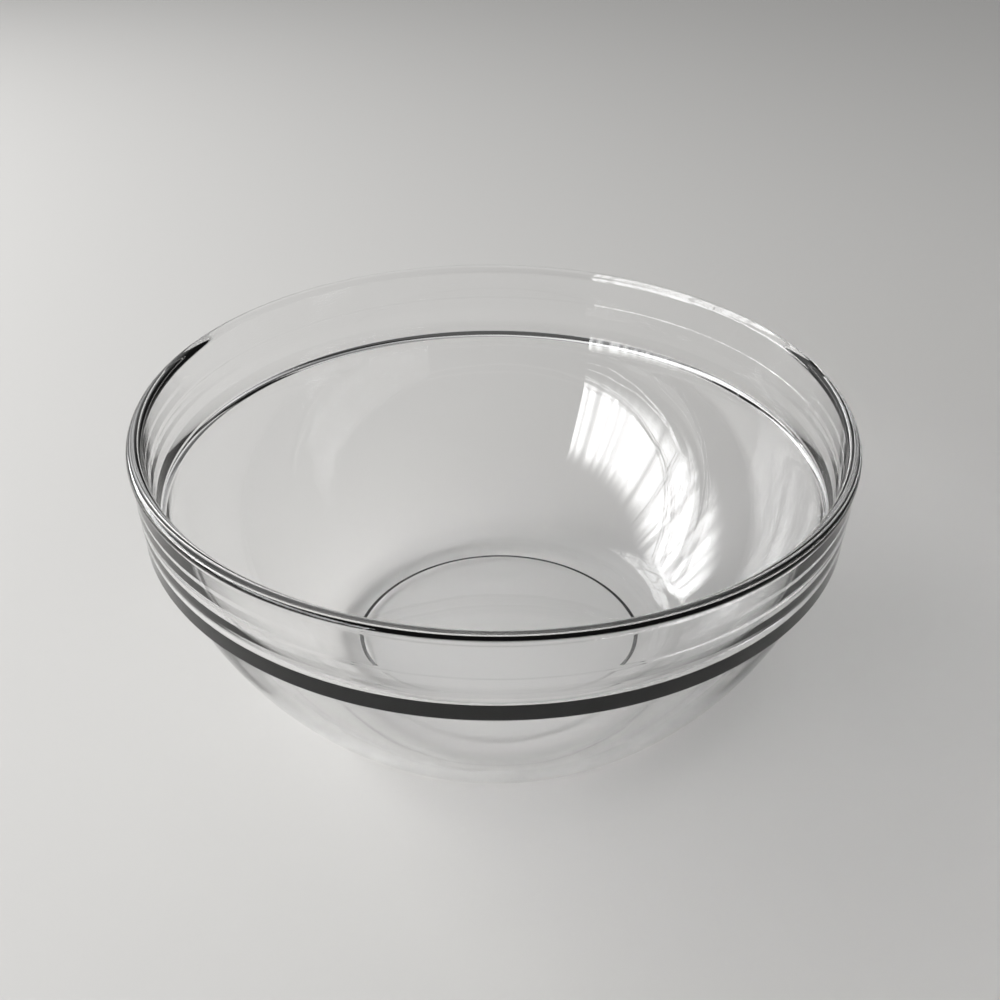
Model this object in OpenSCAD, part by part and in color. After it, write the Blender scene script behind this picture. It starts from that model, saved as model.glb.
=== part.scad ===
// Stacking prep bowl, pressed in one piece from clear glass.
// Millimetres, +Z up, origin at the centre of the ring that it stands on.
// The whole bowl is one turned outline: foot, basin, stacking belt, collar, rim and inside.

/* [Overall] */
// Outside diameter over the rim
rim_d = 120; // [100:1:200]
// Height from the table to the top of the rim
bowl_h = 54.5; // [46:0.5:80]

/* [Rim and collar] */
// Thickness of the rounded bead along the rim
rim_t = 2.5; // [2.2:0.1:4]
// How far the bead stands out past the collar
rim_lip = 0.35; // [0.1:0.05:0.6]
// Height from the shoulder under the collar to the top of the rim
collar_h = 15.1; // [13:0.1:20]

/* [Stacking belt] */
// Height of the low band, the first upright band above the shoulder
low_band_h = 3.0; // [2:0.1:4]
// Height of the slope from the low band out to the middle band
slope_h = 2.1; // [1:0.1:3]
// Height of the middle band
mid_band_h = 2.5; // [1.5:0.1:3.5]
// Height of the narrow slope from the middle band out to the collar
lip_slope_h = 0.5; // [0.4:0.1:1]
// How far the low band lies inside the middle band
low_step = 0.2; // [0.1:0.05:0.5]
// How far the middle band lies inside the collar
mid_step = 0.15; // [0.05:0.05:0.4]
// Drop of the shoulder from the low band in to the basin
shoulder_drop = 0.8; // [0.4:0.1:2]
// Gap all round between this basin and the mouth of the bowl that it stacks into
stack_gap = 0.1; // [0.05:0.05:0.5]

/* [Basin] */
// Wall thickness at the top of the basin
basin_t = 1.6; // [1.4:0.1:4]
// Wall thickness that the basin would come down to at the table, without the round at its floor
low_t = 1.2; // [1.1:0.1:3]
// How much thicker than an even taper the wall is half way up the basin
wall_belly = 0.35; // [0:0.05:1]
// How far the basin's side swells out past a straight cone
basin_swell = 3.7; // [2:0.1:6]
// Lean of the inside wall right under the rim, in degrees, which frees it from the plunger
wall_draft = 5; // [1:0.5:6]
// Radius where the inside wall runs into the floor
floor_round_r = 13; // [6:0.5:16]

/* [Foot] */
// Diameter where the basin's side meets the table
foot_d = 66; // [62:0.2:80]
// Radius of the heel between the side and the foot ring
heel_r = 2; // [1:0.1:3]
// Thickness of the floor over the foot ring
floor_t = 3.1; // [2.5:0.1:6]
// Diameter of the round recess under the floor
recess_d = 55.4; // [40:0.2:58]
// Depth of the recess
recess_h = 0.6; // [0.3:0.1:1.2]

/* [Hidden] */

// Radius of the fire-polished edges on the shoulder and the recess
shoulder_edge_r = 0.45;
shoulder_root_r = 0.3;
recess_edge_r = 0.25;
// Overrun of the recess below the table, so that its cut comes out clean
cut_overrun = 1;

rim_r = rim_d / 2;
bead_r = rim_t / 2;
bead_centre = [rim_r - bead_r, bowl_h - bead_r];
collar_r = rim_r - rim_lip;
mid_band_r = collar_r - mid_step;
low_band_r = mid_band_r - low_step;
shoulder_z = bowl_h - collar_h;
foot_r = foot_d / 2;
recess_r = recess_d / 2;
basin_top = [rim_r - rim_t - stack_gap, shoulder_z - shoulder_drop];

// Centre and radius of the arc that bulges out by its swell between two points
function bulge(start, end, swell) =
    let (
        chord = norm(end - start),
        along = (end - start) / chord,
        radius = chord * chord / swell / 8 + swell / 2
    )
    [(start + end) / 2 + [-along.y, along.x] * (radius - swell), radius];

// The basin's side bulges between the foot and the shoulder
side_start = [foot_r, 0];
side_arc = bulge(side_start, basin_top, basin_swell);
side_centre = side_arc[0];
side_r = side_arc[1];
swell_end = angle_of(side_centre, basin_top);

// The inside bulges a little less between its own two ends, one wall in from the outside
wall_foot = basin_top + unit(side_centre - basin_top) * basin_t;
wall_low = side_start + unit(side_centre - side_start) * low_t;
inside_arc = bulge(wall_low, wall_foot, basin_swell - wall_belly);
inside_centre = inside_arc[0];
inside_r = inside_arc[1];
inside_end = angle_of(inside_centre, wall_foot);

// From the basin's top the inside wall bends up to the bead
wall_top_angle = 180 - wall_draft;

// Smoothness: steps along each arc, and sides round the bowl
bead_steps = 24;
side_steps = 24;
wall_steps = 12;
round_steps = 10;
edge_steps = 4;
bowl_fn = 180;

// Length of a curve's handles as a share of its chord
handle_share = 0.5;

function on_circle(centre, radius, angle) = centre + radius * [cos(angle), sin(angle)];

function arc(centre, radius, from, to, steps) =
    [for (i = [0:steps]) on_circle(centre, radius, from + (to - from) * i / steps)];

function angle_of(centre, point) = atan2(point.y - centre.y, point.x - centre.x);

// Smooth curve that leaves its start along one angle and comes to its end along another
function sweep(start, leave, end, reach, steps) =
    let (
        handle = norm(end - start) * handle_share,
        near = on_circle(start, handle, leave),
        far = on_circle(end, -handle, reach)
    )
    [for (i = [0:steps])
        let (t = i / steps, u = 1 - t)
        u * u * (u * start + 3 * t * near) + t * t * (t * end + 3 * u * far)];

function unit(v) = v / norm(v);

// Centre of the round that touches a level floor and the inside of an arc
function round_centre(centre, arc_r, floor_z, round_r) = [
    centre.x + sqrt(pow(arc_r - round_r, 2) - pow(centre.y - floor_z - round_r, 2)),
    floor_z + round_r
];

// Points that round one corner of an outline, where each point is [radius, height, rounding]
function rounded(before, at, after) =
    at.z == 0 ? [[at.x, at.y]] :
    let (
        corner = [at.x, at.y],
        back = unit([before.x, before.y] - corner),
        ahead = unit([after.x, after.y] - corner),
        half = acos(back * ahead) / 2,
        centre = corner + unit(back + ahead) * at.z / sin(half),
        start = angle_of(centre, corner + back * at.z / tan(half)),
        turn = cross(back, ahead) > 0 ? 2 * half - 180 : 180 - 2 * half
    )
    arc(centre, at.z, start, start + turn, edge_steps);

function rounded_run(points) =
    [for (i = [1:len(points) - 2]) each rounded(points[i - 1], points[i], points[i + 1])];

// What is cut from under the floor: a level recess with a sloping edge, so that the bowl stands
// on the ring round it
function recess() =
    let (
        edge = rounded_run([
            [0, recess_h, 0],
            [recess_r - recess_h, recess_h, recess_edge_r],
            [recess_r, 0, recess_edge_r],
            [recess_r + recess_h, 0, 0]
        ])
    )
    concat([[0, -cut_overrun], [0, recess_h]], edge, [[edge[len(edge) - 1].x, -cut_overrun]]);

// Outside of the basin: the heel, then the swelling side up to the shoulder
function basin_side() =
    let (
        heel = round_centre(side_centre, side_r, 0, heel_r),
        leave = angle_of(side_centre, heel)
    )
    concat(
        arc(heel, heel_r, -90, leave, round_steps),
        arc(side_centre, side_r, leave, swell_end, side_steps)
    );

// Stacking belt: the shoulder that rests on the rim below, the low band, the slope,
// the middle band and the narrow slope under the collar
function belt(side_end) =
    let (
        low_top = shoulder_z + low_band_h,
        mid_foot = low_top + slope_h,
        mid_top = mid_foot + mid_band_h,
        collar_foot = mid_top + lip_slope_h
    )
    rounded_run([
        side_end,
        [basin_top.x, basin_top.y, shoulder_root_r],
        [low_band_r, shoulder_z, shoulder_edge_r],
        [low_band_r, low_top, 0],
        [mid_band_r, mid_foot, 0],
        [mid_band_r, mid_top, 0],
        [collar_r, collar_foot, 0],
        [collar_r, bead_centre.y, 0]
    ]);

// Rim bead, from the collar over the top to the inside wall
function rim() =
    arc(bead_centre, bead_r, -acos((bead_r - rim_lip) / bead_r), wall_top_angle, bead_steps);

// Inside: the wall down from the bead, the arc of the basin, the round at its foot
// and the flat floor
function inside() =
    let (
        wall_top = on_circle(bead_centre, bead_r, wall_top_angle),
        wall = sweep(wall_top, wall_top_angle + 90, wall_foot, inside_end - 90, wall_steps),
        foot_round = round_centre(inside_centre, inside_r, floor_t, floor_round_r),
        leave = angle_of(inside_centre, foot_round)
    )
    concat(
        leaving_out(wall, 0),
        leaving_out(arc(inside_centre, inside_r, inside_end, leave, side_steps), 0),
        leaving_out(arc(foot_round, floor_round_r, leave, -90, round_steps), 0),
        [[0, floor_t]]
    );

function leaving_out(points, skip) = [for (i = [0:len(points) - 1]) if (i != skip) points[i]];

// Where two arcs meet, the point that they share is kept once, and the belt's first rounding
// takes the place of the side's last point
function outline() =
    let (
        heel_and_side = leaving_out(basin_side(), round_steps),
        side = leaving_out(heel_and_side, len(heel_and_side) - 1)
    )
    concat(
        [[0, 0]],
        side,
        belt(side[len(side) - 1]),
        rim(),
        inside()
    );

module bowl() {
    color([0.86, 0.9, 0.89, 0.4])
        rotate_extrude($fn = bowl_fn)
            difference() {
                polygon(outline());
                polygon(recess());
            }
}

bowl();
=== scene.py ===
# %% [markdown]
# # Stacking prep bowl in clear pressed glass
#
# The real bowl is one piece. A gob of hot glass drops into an iron mould, a plunger presses it
# outwards and up, and a flame then rounds the rim. So everything that the eye reads comes from one
# turned outline and one glass: thin dark lines at the rim, bands where the stacking belt
# steps inwards, a ring where the foot's recess begins.
#
# The lesson draws that outline, spins it, gives it the glass, and sets the light and the camera.

# %% Load the measured bowl
import math

import bpy
from mathutils import Matrix, Vector


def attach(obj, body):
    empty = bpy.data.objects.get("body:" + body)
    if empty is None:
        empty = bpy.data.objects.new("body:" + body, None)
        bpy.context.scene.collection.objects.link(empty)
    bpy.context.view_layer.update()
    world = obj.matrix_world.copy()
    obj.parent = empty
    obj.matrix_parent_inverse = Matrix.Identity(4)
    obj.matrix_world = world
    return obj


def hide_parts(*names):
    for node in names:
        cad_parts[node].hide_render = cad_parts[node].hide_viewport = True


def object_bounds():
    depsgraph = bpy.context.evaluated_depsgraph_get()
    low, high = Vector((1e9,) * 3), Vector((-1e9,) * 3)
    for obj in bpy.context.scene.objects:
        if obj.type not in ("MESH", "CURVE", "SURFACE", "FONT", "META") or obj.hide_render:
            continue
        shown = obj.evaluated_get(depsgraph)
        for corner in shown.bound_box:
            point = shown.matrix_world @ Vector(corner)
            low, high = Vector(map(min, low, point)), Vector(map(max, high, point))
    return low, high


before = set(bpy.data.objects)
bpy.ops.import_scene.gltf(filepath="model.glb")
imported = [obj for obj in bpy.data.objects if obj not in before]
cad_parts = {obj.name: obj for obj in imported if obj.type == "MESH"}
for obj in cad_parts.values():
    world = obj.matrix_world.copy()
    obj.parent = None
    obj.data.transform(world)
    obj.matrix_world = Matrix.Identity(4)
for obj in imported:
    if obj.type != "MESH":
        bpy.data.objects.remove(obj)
cad_low, cad_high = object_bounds()
MM = 0.001
print("measured bowl, mm:", [round(size / MM, 1) for size in cad_high - cad_low])

# %% [markdown]
# ## Sizes
#
# The height and the rim's radius come from the measured bowl. The rim, the belt, the walls and the
# foot follow from sizes that the mould maker would write on the drawing, in millimetres. A name
# that ends in `_r` is a radius, `_h` a height, `_t` a thickness of glass and `_z` a height over
# the table.

# %% Sizes of the bowl
rim_r = min(cad_high.x, cad_high.y, -cad_low.x, -cad_low.y) / MM
bowl_h = cad_high.z / MM

# Rim: how far it stands out past the collar, with the hollow there, then its two roundings
rim_lip, lip_hollow_r = 0.4, 0.6
rim_out, rim_out_h = 1.04, 0.95
rim_in, rim_in_h = 1.35, 1.2
# Stacking belt, from the shoulder up to the collar
collar_h = 15.1
low_band_h, slope_h, mid_band_h, lip_slope_h = 3.0, 2.1, 2.5, 0.5
low_step, mid_step = 0.2, 0.15
shoulder_drop, stack_gap = 0.8, 0.2
# Basin, and the plunger's side above it
basin_swell, inside_swell = 3.7, 3.4
basin_t, low_t = 2.0, 1.8
wall_draft = math.radians(4)
ledge_z, ledge_half, ledge_lean = 40, 2.0, math.radians(11.5)
ledge_end_z, floor_round_r = 35.3, 10
# Foot, floor and the recess under it, then the rounding of the small edges
foot_r, heel_r = 33, 11
floor_t, recess_r, recess_h = 3.1, 27.8, 0.8
edge_r, shoulder_edge_r, belt_edge_r = 0.25, 0.45, 1.5

collar_r = rim_r - rim_lip
shoulder_z = bowl_h - collar_h
print("rim radius", round(rim_r, 2), "and height", round(bowl_h, 2), "mm")
print("shoulder", round(shoulder_z, 2), "mm over the table")

# %% [markdown]
# ## The turned outline
#
# Clear glass shows every flat in a mesh, because each facet bends the light by itself. So the
# outline is a run of arcs with many short steps. Three small functions draw it: a point on a
# circle, an arc, and a corner that is rounded by a fillet. A gentle curve gets by with long steps,
# and a tight one needs short ones.

# %% Arcs and rounded corners
LONG_STEP, SHORT_STEP, EDGE_STEP = 0.8, 0.4, 0.1
FEWEST_STEPS = 4


def on_circle(centre, radius, angle):
    return centre + radius * Vector((math.cos(angle), math.sin(angle)))


def arc(centre, radius, start, end, step=LONG_STEP):
    count = max(FEWEST_STEPS, math.ceil(abs(end - start) * radius / step))
    return [on_circle(centre, radius, start + (end - start) * i / count) for i in range(count + 1)]


def rounded_corner(before, corner, after, radius):
    back, ahead = (before - corner).normalized(), (after - corner).normalized()
    half = back.angle(ahead) / 2
    centre = corner + (back + ahead).normalized() * radius / math.sin(half)
    start = corner + back * radius / math.tan(half) - centre
    turn = math.pi - 2 * half
    if back.x * ahead.y - back.y * ahead.x > 0:
        turn = -turn
    first = math.atan2(start.y, start.x)
    return arc(centre, radius, first, first + turn, EDGE_STEP)


# %% [markdown]
# ## Basin
#
# The basin's side is one arc that bulges out past a straight cone, and the inside of the basin is
# a second arc with a little less bulge, so the wall is never quite even. A round at its foot brings
# each arc down to the level: the heel outside, and the floor's round inside.


# %% Outside and inside arcs of the basin
def bulge(start, end, swell):
    chord = end - start
    radius = chord.length_squared / swell / 8 + swell / 2
    across = Vector((-chord.y, chord.x)).normalized()
    return (start + end) / 2 + across * (radius - swell), radius


def round_at_floor(centre, arc_r, floor_z, radius):
    rise = centre.y - floor_z - radius
    return Vector((centre.x + math.sqrt((arc_r - radius) ** 2 - rise**2), floor_z + radius))


def angle_from(centre, point):
    return math.atan2(point.y - centre.y, point.x - centre.x)


mouth_r = rim_r - rim_out - rim_in
basin_top = Vector((mouth_r - stack_gap, shoulder_z - shoulder_drop))
side_start = Vector((foot_r, 0))
side_centre, side_r = bulge(side_start, basin_top, basin_swell)
wall_foot = basin_top + (side_centre - basin_top).normalized() * basin_t
wall_low = side_start + (side_centre - side_start).normalized() * low_t
inside_centre, inside_r = bulge(wall_low, wall_foot, inside_swell)

heel = round_at_floor(side_centre, side_r, 0, heel_r)
floor_round = round_at_floor(inside_centre, inside_r, floor_t, floor_round_r)
heel_end = angle_from(side_centre, heel)
side_end = angle_from(side_centre, basin_top)
inside_end = -math.asin((inside_centre.y - ledge_end_z) / inside_r)
round_end = angle_from(inside_centre, floor_round)
print("radius of the side", round(side_r, 1), "mm and of the inside", round(inside_r, 1), "mm")

# %% [markdown]
# ## Rim
#
# A flame softens the rim after pressing, and the glass draws itself round. It comes out rounder
# on the inside than on the outside, so each side of the ridge is a stretch of its own ellipse. In
# the picture the rim is a pair of dark lines with a bright one between them.

# %% Rounded top of the rim
RIM_STEPS = 24
rim_ridge = rim_r - rim_out
out_centre = Vector((rim_ridge, bowl_h - rim_out_h))
in_centre = Vector((rim_ridge, bowl_h - rim_in_h))


def oval(centre, half_width, half_height, start, end):
    """Stretch of an ellipse between two angles."""
    points = []
    for i in range(RIM_STEPS + 1):
        turn = start + (end - start) * i / RIM_STEPS
        points.append(centre + Vector((half_width * math.cos(turn), half_height * math.sin(turn))))
    return points


# Where the rim's outside comes back to the collar, under its widest point
lip_turn = -math.acos((rim_out - rim_lip) / rim_out)
rim_outside = oval(out_centre, rim_out, rim_out_h, lip_turn, math.pi / 2)
rim_inside = oval(in_centre, rim_in, rim_in_h, math.pi / 2, math.pi)

print("rim", round(rim_out + rim_in, 2), "mm thick")

# %% [markdown]
# ## Inside wall
#
# The plunger's side runs almost upright under the rim, with just enough draft to come free, and
# leans in faster and faster down to the basin's arc. Level with the shoulder outside it has a
# soft ledge, where it leans in by another ten degrees or so. Glass this clear shows the ledge
# only by what it bends: a bright line runs along it on the side away from the window, and the
# band under the collar stays dark all along the front.
#
# The wall is drawn by its slope, which is added up from the top down. A last, even bow closes
# the small gap to the basin.

# %% Inside wall from the rim down to the basin
WALL_STEPS = 64
wall_top = rim_inside[-1]
wall_end = on_circle(inside_centre, inside_r, inside_end)
end_slope = math.tan(-inside_end)


def steps_in(slopes, fall):
    """How far a wall comes in at each step down, from its slopes at the ends of the steps."""
    return [0.0] + [fall * sum(pair) / 2 for pair in zip(slopes, slopes[1:])]


def inside_wall():
    """Wall whose slope grows steadily, with the ledge's hump, and a bow that closes the gap."""
    top_slope = math.tan(wall_draft)
    fall = (wall_top.y - wall_end.y) / WALL_STEPS
    heights = [wall_top.y - fall * i for i in range(WALL_STEPS + 1)]
    shares = [i / WALL_STEPS for i in range(WALL_STEPS + 1)]
    humps = [math.tan(ledge_lean) * math.exp(-(((z - ledge_z) / ledge_half) ** 2)) for z in heights]
    steady = [top_slope + (end_slope - top_slope) * share for share in shares]
    plain = steps_in([slope + hump for slope, hump in zip(steady, humps)], fall)
    bowed = steps_in([share * (1 - share) for share in shares], fall)
    bow = (wall_top.x - wall_end.x - sum(plain)) / sum(bowed)
    print("bow of the inside wall", round(bow, 3))
    points, radius = [], wall_top.x
    for z, straight, curved in zip(heights, plain, bowed):
        radius -= straight + bow * curved
        points.append(Vector((radius, z)))
    return points


# %% [markdown]
# ## The whole outline
#
# It starts in the middle of the underside, runs out over the foot, up the side and the belt, over
# the rim and down to the middle of the inside floor. Each stretch starts where the last one
# stopped, so the point that two stretches share is kept once. On both sides of each rounded
# corner, a second point close by keeps the flat next to it flat when the mesh is shaded smooth.

# %% Corners of the recess and of the stacking belt
LIP_POINTS = 5
mid_band_r = collar_r - mid_step
low_band_r = mid_band_r - low_step
low_top = shoulder_z + low_band_h
mid_foot = low_top + slope_h
mid_top = mid_foot + mid_band_h
recess_corners = [
    Vector((0, recess_h)),
    Vector((recess_r - recess_h, recess_h)),
    Vector((recess_r, 0)),
    side_start,
]
side = arc(side_centre, side_r, heel_end, side_end)
belt_corners = [
    (basin_top, edge_r),
    (Vector((low_band_r, shoulder_z)), shoulder_edge_r),
    (Vector((low_band_r, low_top)), belt_edge_r),
    (Vector((mid_band_r, mid_foot)), belt_edge_r),
    (Vector((mid_band_r, mid_top)), belt_edge_r),
    (Vector((collar_r, mid_top + lip_slope_h)), belt_edge_r),
    (rim_outside[0], lip_hollow_r),
    (rim_outside[LIP_POINTS], 0),
]
SUPPORT = 0.05


def eased_run(corners):
    """Round every corner but the first and the last, and keep the flats between them flat."""
    points = []
    for (before, _), (corner, radius), (after, _) in zip(corners, corners[1:], corners[2:]):
        rounding = rounded_corner(before, corner, after, radius)
        into, out = (rounding[0] - before).normalized(), (after - rounding[-1]).normalized()
        points += [rounding[0] - into * SUPPORT, *rounding, rounding[-1] + out * SUPPORT]
    return points


# %% Outline of the glass
outline = recess_corners[:1]
outline += eased_run([(corner, edge_r) for corner in recess_corners])
outline += arc(heel, heel_r, -math.pi / 2, heel_end, SHORT_STEP)
outline += side[1:-2]
outline += eased_run([(side[-3], 0), *belt_corners])
outline += rim_outside[LIP_POINTS + 1 :] + rim_inside[1:]
outline += inside_wall()[1:]
outline += arc(inside_centre, inside_r, inside_end, round_end)[1:]
outline += arc(floor_round, floor_round_r, round_end, -math.pi / 2, SHORT_STEP)[1:]
outline += [Vector((0, floor_t))]
print(len(outline), "points in the outline")

# %% [markdown]
# ## Spinning the outline
#
# A round shape is made fastest by turning. A small plane is merged into one vertex at the start
# of the outline, that vertex is extruded from point to point, and the finished line is spun once
# round the bowl's axis. The seam and the two poles are then merged, and every edge that turns
# by less than the angle given is shaded smooth.

# %% Draw the outline by extruding one vertex
bpy.ops.object.select_all(action="DESELECT")
bpy.ops.mesh.primitive_plane_add(size=MM, location=(0, 0, outline[0].y * MM))
bowl = bpy.context.object
bowl.name = "pressed_bowl"
bpy.ops.object.mode_set(mode="EDIT")
bpy.ops.mesh.select_all(action="SELECT")
bpy.ops.mesh.merge(type="CENTER")
for here, there in zip(outline, outline[1:]):
    step = (there - here) * MM
    bpy.ops.mesh.extrude_vertices_move(TRANSFORM_OT_translate={"value": (step.x, 0, step.y)})

print("drew", len(outline) - 1, "edges of the outline")

# %% Spin it and close the seam and the poles
ROUND = 320
SAME_POINT = 0.002 * MM
SMOOTH_UNDER = math.radians(30)
bpy.ops.mesh.select_all(action="SELECT")
bpy.ops.mesh.spin(steps=ROUND, angle=2 * math.pi, center=(0, 0, 0), axis=(0, 0, 1))
bpy.ops.mesh.select_all(action="SELECT")
bpy.ops.mesh.remove_doubles(threshold=SAME_POINT)
bpy.ops.mesh.normals_make_consistent(inside=False)
bpy.ops.object.mode_set(mode="OBJECT")
bpy.ops.object.transform_apply(location=True, rotation=True, scale=True)
bpy.ops.object.shade_smooth_by_angle(angle=SMOOTH_UNDER)
print(len(bowl.data.vertices), "vertices,", len(bowl.data.polygons), "faces")

# %% Hand the bowl to the frame
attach(bowl, "root")
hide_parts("bowl")

# %% [markdown]
# ## Glass
#
# Soda-lime glass, pressed and then fire polished: clear and free of any tint that the eye would
# notice, with a surface that is glossy but not flat. The mould chills the skin in slow waves,
# which is what makes the reflected window wander along the wall.


# %% Colours and nodes
def linear(hex_colour):
    """Turn a colour as a screen names it into the light that the shader mixes."""
    parts = [int(hex_colour[i : i + 2], 16) / 255 for i in (1, 3, 5)]
    return [c / 12.92 if c <= 0.04045 else ((c + 0.055) / 1.055) ** 2.4 for c in parts] + [1.0]


def add_node(tree, kind, settings=(), links=()):
    """Add a node, set its sockets or its options by name, and link what feeds it."""
    node = tree.nodes.new(kind)
    for name, value in dict(settings).items():
        if name in node.inputs:
            node.inputs[name].default_value = value
        else:
            setattr(node, name, value)
    for name, socket in dict(links).items():
        tree.links.new(socket, node.inputs[name])
    return node


def combine(tree, operation, *factors):
    """Feed factors to a maths node in their order, and give back its result."""
    node = add_node(tree, "ShaderNodeMath", {"operation": operation})
    for factor, socket in zip(factors, node.inputs):
        tree.links.new(factor, socket)
    return node.outputs["Value"]


# %% Pressed soda-lime glass
WAVE, WAVE_DEPTH = 14 * MM, 0.03 * MM
glass = bpy.data.materials.new("pressed soda-lime glass, fire polished")
glass.use_nodes = True
shader = glass.node_tree.nodes["Principled BSDF"]
shader.inputs["Base Color"].default_value = linear("#fdfdfd")
shader.inputs["Transmission Weight"].default_value = 1.0
shader.inputs["Roughness"].default_value = 0.0
shader.inputs["IOR"].default_value = 1.52

place = add_node(glass.node_tree, "ShaderNodeTexCoord")
chill = add_node(
    glass.node_tree,
    "ShaderNodeTexNoise",
    {"Scale": 1 / WAVE, "Detail": 1.0, "Roughness": 0.4},
    {"Vector": place.outputs["Object"]},
)
waves = add_node(
    glass.node_tree,
    "ShaderNodeBump",
    {"Strength": 1.0, "Distance": WAVE_DEPTH},
    {"Height": chill.outputs["Fac"]},
)
glass.node_tree.links.new(waves.outputs["Normal"], shader.inputs["Normal"])
bowl.data.materials.clear()
bowl.data.materials.append(glass)
print("glass on", bowl.name, "with waves", round(WAVE / MM), "mm long")

# %% [markdown]
# ## Table
#
# A plain pale top, matt, with nothing on it. The bowl stands on it, and it takes the bowl's soft
# shadow. It lies a hair under the foot, so that glass and table don't share a face.

# %% Pale table top
TABLE_SIZE, TABLE_DROP = 2.4, 0.02 * MM
bpy.ops.object.select_all(action="DESELECT")
bpy.ops.mesh.primitive_plane_add(size=TABLE_SIZE, location=(0, 0, -TABLE_DROP))
table = bpy.context.object
table.name = "table_top"
bpy.ops.object.transform_apply(location=True)

pale = bpy.data.materials.new("pale matt table top")
pale.use_nodes = True
top = pale.node_tree.nodes["Principled BSDF"]
top.inputs["Base Color"].default_value = linear("#cecdcb")
top.inputs["Roughness"].default_value = 0.85
top.inputs["Specular IOR Level"].default_value = 0.2
table.data.materials.append(pale)
print("table top", TABLE_SIZE, "m wide")

# %% [markdown]
# ## Light
#
# One curtained window stands to the left, low and wide. Its reflection is the long bright patch
# across the inside of the glass. It is built of six panes round the table, each an area lamp that
# faces the bowl, with the casement between the third and the fourth. A veil over each pane fades
# it out towards the sill and the head of the window, and the folds of the curtain shade it in
# upright streaks, which the patch shows.


# %% Panes
def soft_panel(name, place, aim, width, height, power):
    lamp = bpy.data.lights.new(name, "AREA")
    lamp.shape = "RECTANGLE"
    lamp.size, lamp.size_y = width, height
    lamp.energy = power
    panel = bpy.data.objects.new(name, lamp)
    bpy.context.collection.objects.link(panel)
    panel.location = place
    panel.rotation_euler = (aim - place).to_track_quat("-Z", "Y").to_euler()
    return panel


WINDOW_AWAY = 0.7


def window_height(degrees):
    """Height over the table that is seen this many degrees up from the bowl."""
    return WINDOW_AWAY * math.tan(math.radians(degrees))


# Each pane by the bearings of its two edges, in degrees, and its power
PANES = [
    (140, 156, 3.8),
    (156, 172, 3.3),
    (172, 187.6, 3.0),
    (188.4, 204, 2.7),
    (204, 220, 3.1),
    (220, 236, 3.1),
]
SILL = (window_height(10), window_height(18))
HEAD = (window_height(30), window_height(38))
# Curtain folds: how many to a radian round the table, how much light the darkest lets by, and
# how much of the noise lies in their slopes
FOLDS, FOLD_SHADE, FOLD_SLOPE = 16, 0.3, (0.35, 0.6)


def veil(panel):
    """Fade a lamp by the height of each of its points, and streak it by their bearing."""
    panel.data.use_nodes = True
    tree = panel.data.node_tree
    point = add_node(tree, "ShaderNodeNewGeometry")
    axes = add_node(tree, "ShaderNodeSeparateXYZ", links={"Vector": point.outputs["Position"]})
    fades = []
    for (start, end), dark, bright in ((SILL, 0, 1), (HEAD, 1, 0)):
        ends = {"From Min": start, "From Max": end, "To Min": dark, "To Max": bright}
        ends["interpolation_type"] = "SMOOTHSTEP"
        fades.append(add_node(tree, "ShaderNodeMapRange", ends, {"Value": axes.outputs["Z"]}))
    bearing = combine(tree, "ARCTAN2", axes.outputs["Y"], axes.outputs["X"])
    folds = add_node(
        tree,
        "ShaderNodeTexNoise",
        {"noise_dimensions": "1D", "Scale": FOLDS, "Detail": 2.0},
        {"W": bearing},
    )
    start, end = FOLD_SLOPE
    ends = {"From Min": start, "From Max": end, "To Min": FOLD_SHADE, "To Max": 1}
    streaks = add_node(tree, "ShaderNodeMapRange", ends, {"Value": folds.outputs["Fac"]})
    height_fade = combine(tree, "MULTIPLY", *[fade.outputs["Result"] for fade in fades])
    strength = combine(tree, "MULTIPLY", height_fade, streaks.outputs["Result"])
    tree.links.new(strength, tree.nodes["Emission"].inputs["Strength"])


window_mid = Vector((0, 0, (SILL[0] + HEAD[1]) / 2))
window_h = HEAD[1] - SILL[0]
for start, end, power in PANES:
    turn = math.radians((start + end) / 2)
    out = WINDOW_AWAY * Vector((math.cos(turn), math.sin(turn), 0))
    width = 2 * WINDOW_AWAY * math.tan(math.radians(end - start) / 2)
    name = f"window_{start:.0f}"
    veil(soft_panel(name, window_mid + out, window_mid, width, window_h, power))
print(len(PANES), "panes,", round(window_h, 2), "m high and", WINDOW_AWAY, "m away")

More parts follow.
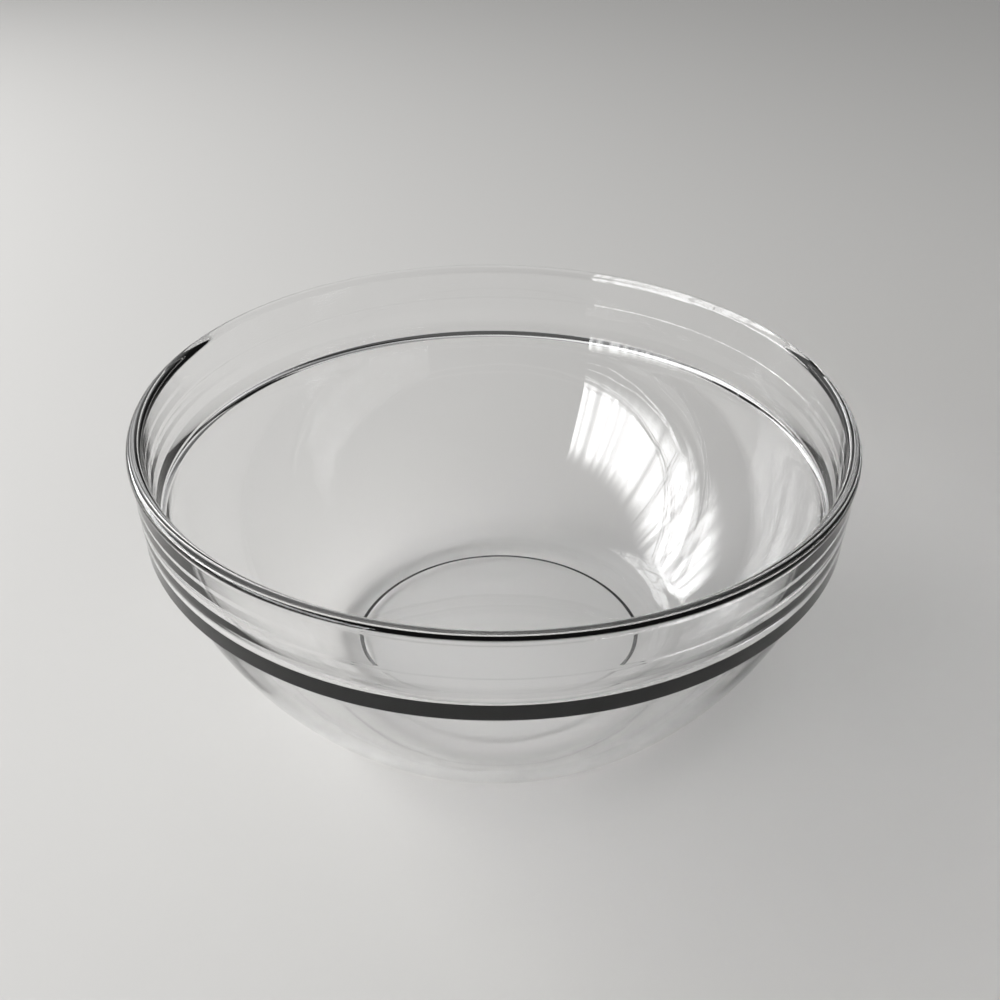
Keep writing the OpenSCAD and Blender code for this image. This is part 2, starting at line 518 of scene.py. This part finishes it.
# %% [markdown]
# ## Room
#
# The room is dim, with a broad soft glow high up behind on the left, which fills the shadows
# and lays a faint sheen on the glass. It has no edge that the glass could draw. The renderer
# would also blur glass a little for light that has already bounced off something matt, which
# makes the table under the bowl too dark, so that blur is set to none.

# %% Dim room with a glow
ROOM, GLOW = 0.10, 1.1
GLOW_WAY = (-0.5, 0.5, 0.7)
GLOW_EDGE, GLOW_HEART = 0.6, 1.0
room = bpy.data.worlds.new("dim room")
bpy.context.scene.world = room
room.use_nodes = True
tree = room.node_tree
away = add_node(tree, "ShaderNodeTexCoord")
facing = add_node(tree, "ShaderNodeVectorMath", {"operation": "DOT_PRODUCT"})
tree.links.new(away.outputs["Generated"], facing.inputs[0])
facing.inputs[1].default_value = GLOW_WAY
ends = {"From Min": GLOW_EDGE, "From Max": GLOW_HEART, "To Min": ROOM, "To Max": ROOM + GLOW}
ends["interpolation_type"] = "SMOOTHSTEP"
spread = add_node(tree, "ShaderNodeMapRange", ends, {"Value": facing.outputs["Value"]})
tree.links.new(spread.outputs["Result"], tree.nodes["Background"].inputs["Strength"])
tree.nodes["Background"].inputs["Color"].default_value = linear("#ffffff")
bpy.context.scene.cycles.blur_glossy = 0
print("room light", ROOM, "and glow", GLOW)

# %% [markdown]
# ## Camera
#
# The camera looks down into the bowl from in front. Its place was worked out from the bowl's
# rings: how far each one opens in the picture says how high the lens stands.

# %% Camera
camera_place = Vector((0, -172.44, 151.93)) * MM
camera_right = Vector((0.99791, -0.04986, 0.04110))
camera_ahead = Vector((0.06412, 0.84294, -0.53417))
camera_up = camera_right.cross(camera_ahead)
camera = bpy.data.cameras.new("camera")
camera.sensor_width = 36
camera.lens = 42.2
camera.shift_x, camera.shift_y = -0.0765, -0.0370
camera.clip_start = 0.01
eye = bpy.data.objects.new("camera", camera)
bpy.context.collection.objects.link(eye)
turn = Matrix((camera_right, camera_up, -camera_ahead)).transposed()
eye.matrix_world = Matrix.Translation(camera_place) @ turn.to_4x4()
bpy.context.scene.camera = eye
bpy.context.scene.view_settings.view_transform = "Standard"
print("camera at", [round(place / MM) for place in camera_place], "mm")
